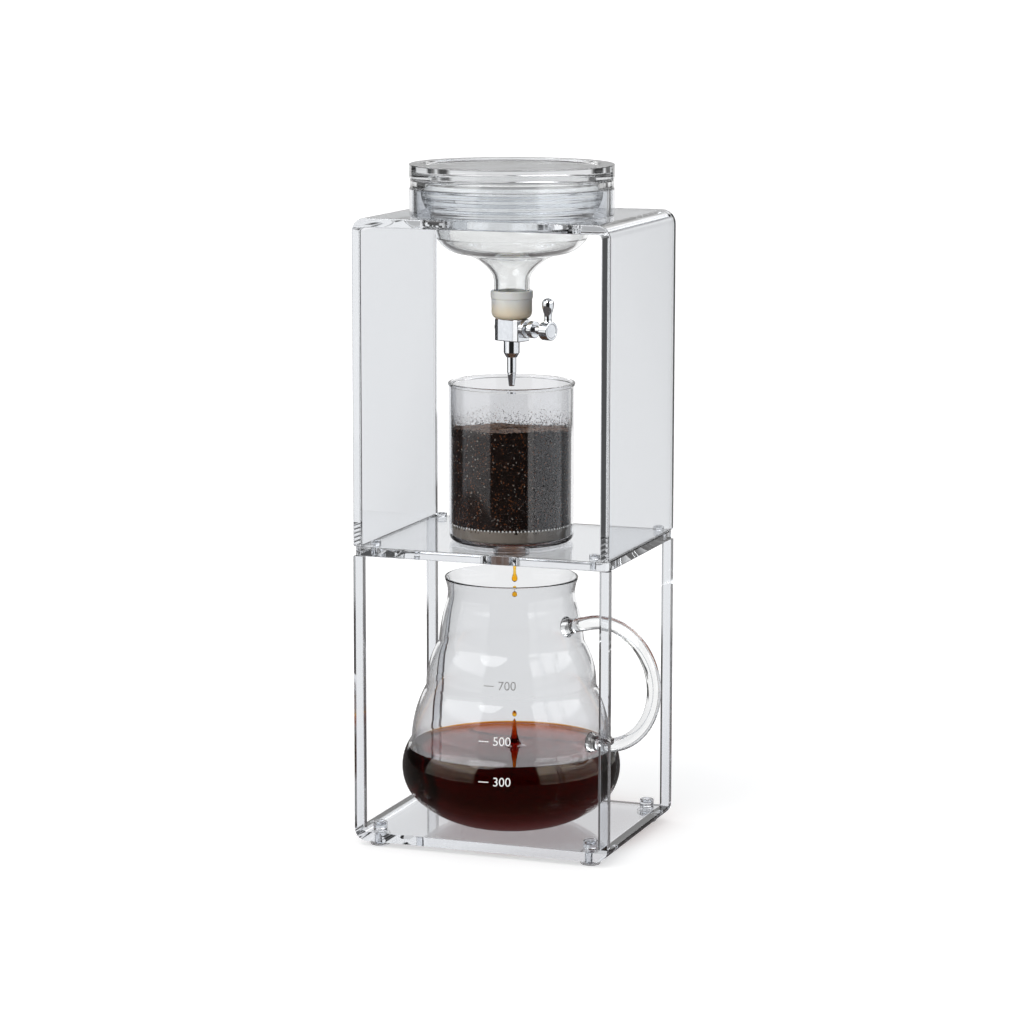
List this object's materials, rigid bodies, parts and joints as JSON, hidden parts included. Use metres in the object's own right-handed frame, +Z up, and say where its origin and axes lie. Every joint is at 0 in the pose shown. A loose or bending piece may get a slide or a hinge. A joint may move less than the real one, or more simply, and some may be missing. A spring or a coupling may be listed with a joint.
{
  "type": "cold drip coffee tower",
  "caption": "Clear tower that drips water from a glass bowl through a metal tap into a filter glass of ground coffee above a handled carafe.",
  "frame": {"origin": "centre of the four feet, which is the centre of the frame's footprint, on the surface that the tower stands on", "axes": "+X to the right, where the carafe's handle points; +Y to the back; +Z up"},
  "size_m": [0.1982, 0.1445, 0.4335],
  "materials": {
    "clear_acrylic": "clear, flame polished",
    "clear_fastener": "clear, moulded",
    "soft_clear": "clear, soft",
    "bowl_glass": "clear, pressed",
    "lid_glass": "clear, pressed",
    "heat_glass": "clear, blown",
    "silicone": "milky, matte",
    "chrome_metal": "polished",
    "filter_mesh": "satin",
    "ground_coffee": "wet grounds",
    "brewed_coffee": "dark liquid"
  },
  "bodies": {
    "frame": {"upper_frame": "clear_acrylic", "shelf": "clear_acrylic", "lower_frame": "clear_acrylic", "base_screws": "clear_fastener", "feet": "soft_clear", "shelf_studs": "clear_fastener", "bowl_ring": "clear_acrylic"},
    "bowl": {"glass_bowl": "bowl_glass", "neck_joint": "silicone", "tap_body": "chrome_metal", "inlet_spigot": "chrome_metal", "packing_nut": "chrome_metal", "nozzle_collar": "chrome_metal", "drip_nozzle": "chrome_metal", "drip_tip": "chrome_metal"},
    "lid": {"bowl_lid": "lid_glass"},
    "tap_handle": {"tap_plug": "chrome_metal", "lock_collar": "chrome_metal", "handle_hub": "chrome_metal", "hub_cap": "chrome_metal", "tap_lever": "chrome_metal", "tail_screw": "chrome_metal", "tail_washer": "chrome_metal"},
    "filter": {"filter_glass": "heat_glass", "filter_band": "filter_mesh", "filter_screen": "filter_mesh", "coffee_grounds": "ground_coffee"},
    "server": {"carafe": "heat_glass", "carafe_handle": "heat_glass", "brewed_coffee": "brewed_coffee"}
  },
  "joints": [
    {"name": "bowl_lift", "type": "slide", "parent": "frame", "child": "bowl", "axis": [0, 0, 1], "range_m": [0, 0.13]},
    {"name": "lid_lift", "type": "slide", "parent": "bowl", "child": "lid", "axis": [0, 0, 1], "range_m": [0, 0.05]},
    {"name": "tap_turn", "type": "hinge", "parent": "bowl", "child": "tap_handle", "pos_m": [0, -0.0078, 0.33], "axis": [0.9397, -0.342, 0], "range_deg": [-90, 90]},
    {"name": "filter_lift", "type": "slide", "parent": "frame", "child": "filter", "axis": [0, 0, 1], "range_m": [0, 0.018]},
    {"name": "carafe_slide", "type": "slide", "parent": "frame", "child": "server", "axis": [0, 1, 0], "range_m": [-0.018, 0.085]}
  ]
}
